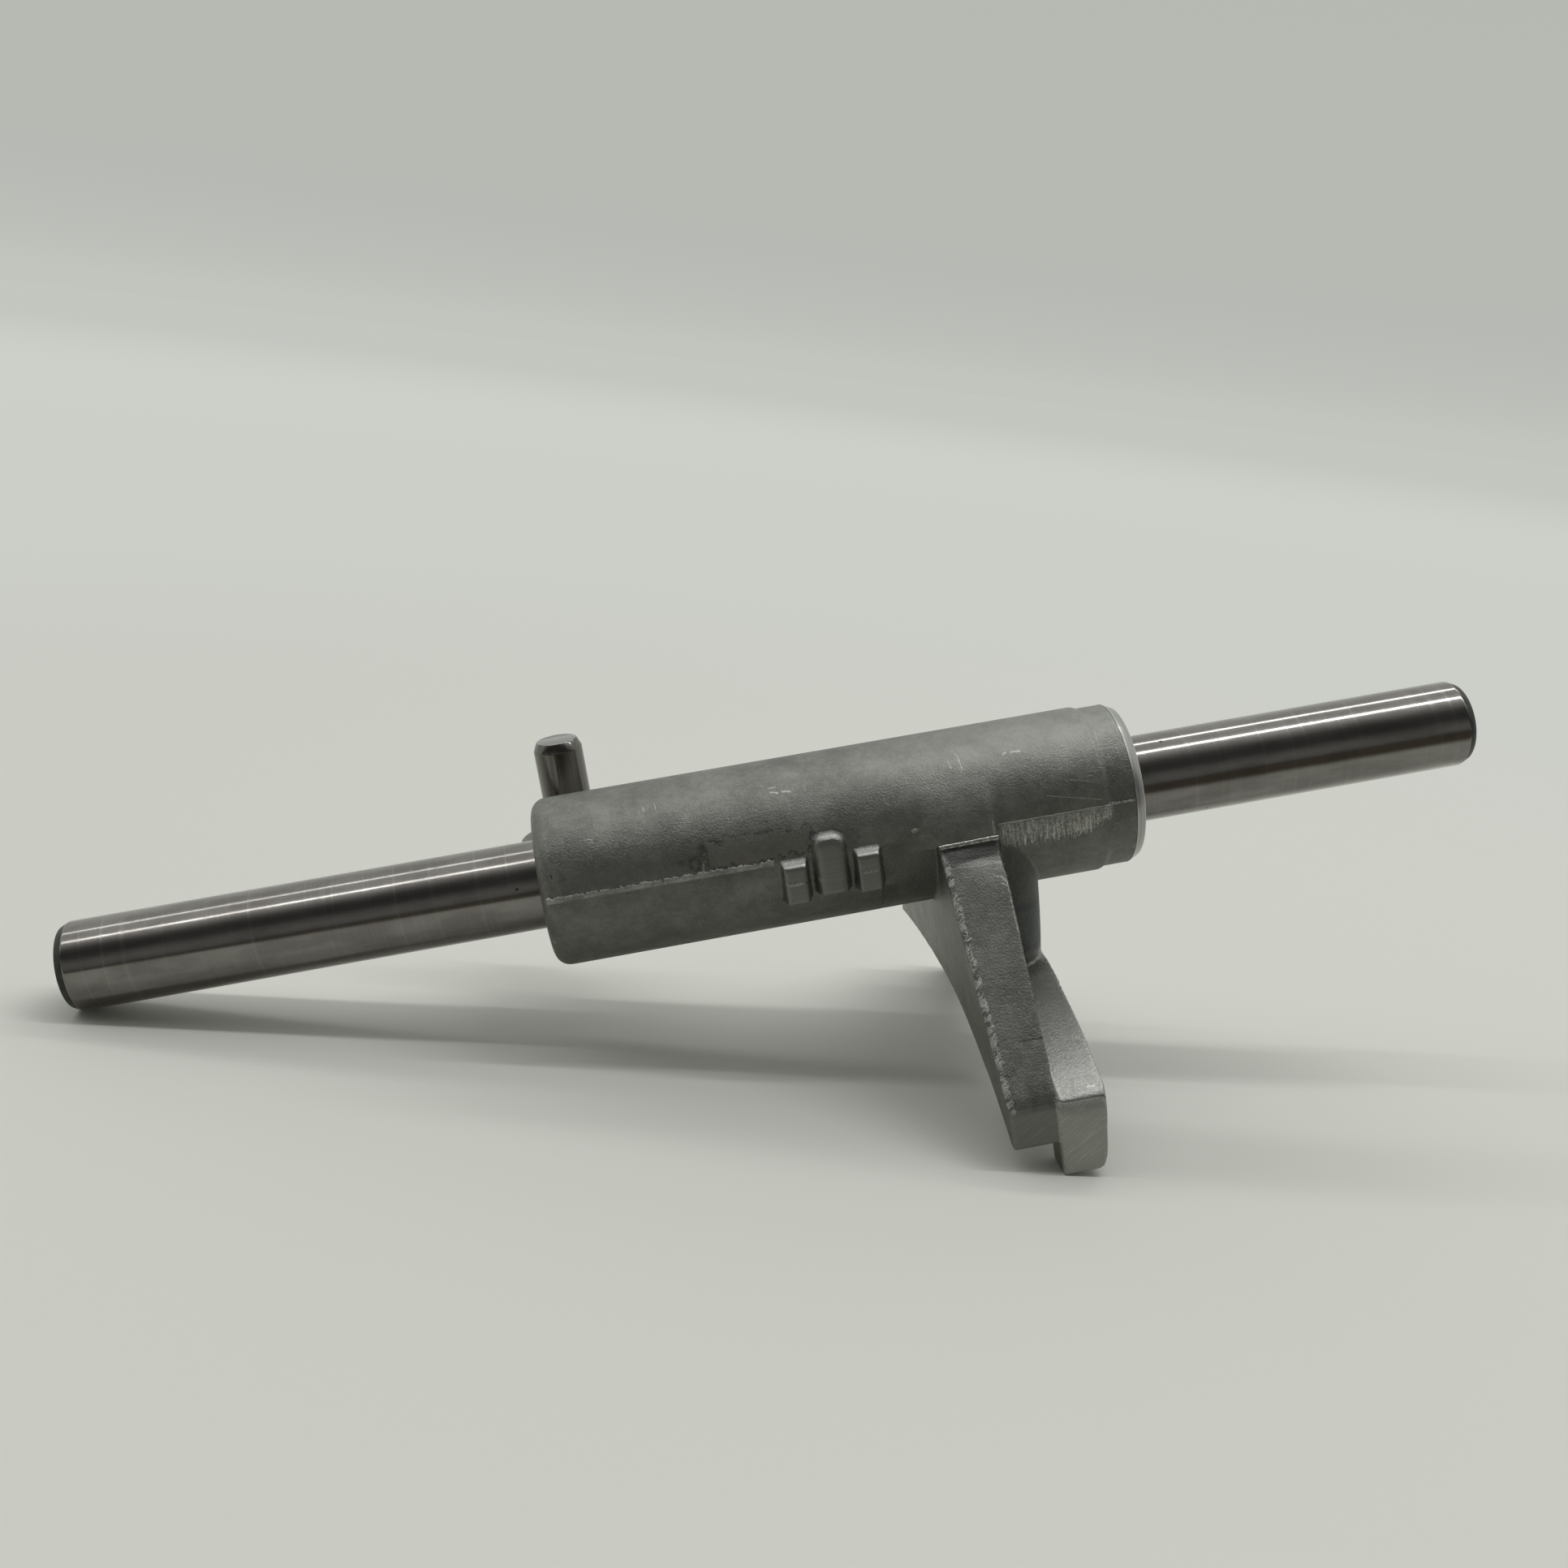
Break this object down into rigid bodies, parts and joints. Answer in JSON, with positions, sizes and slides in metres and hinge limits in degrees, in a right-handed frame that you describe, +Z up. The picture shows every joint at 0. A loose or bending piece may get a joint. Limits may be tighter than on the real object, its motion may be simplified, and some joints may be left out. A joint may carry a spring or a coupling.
{
  "type": "transmission shift fork with rail",
  "caption": "Die-cast shift fork with a long boss and two arms on a ground steel rail, with detent pads on the boss and an upright dowel pin.",
  "frame": {"origin": "middle of the bottom of the object's box, on the floor that it rests on", "axes": "+X along the rail's ground line towards its raised end, +Z up as it lies, fork arms side by side along Y"},
  "size_m": [0.2206, 0.08, 0.0708],
  "materials": {
    "cast_aluminium": "die-cast skin, grey and matte, with machined end faces and detent pads",
    "ground_steel": "centreless ground, bright",
    "pin_steel": "ground, with a turned chamfer"
  },
  "bodies": {
    "root": {"fork_casting": "cast_aluminium", "shift_rail": "ground_steel", "guide_pin": "pin_steel"}
  },
  "joints": []
}
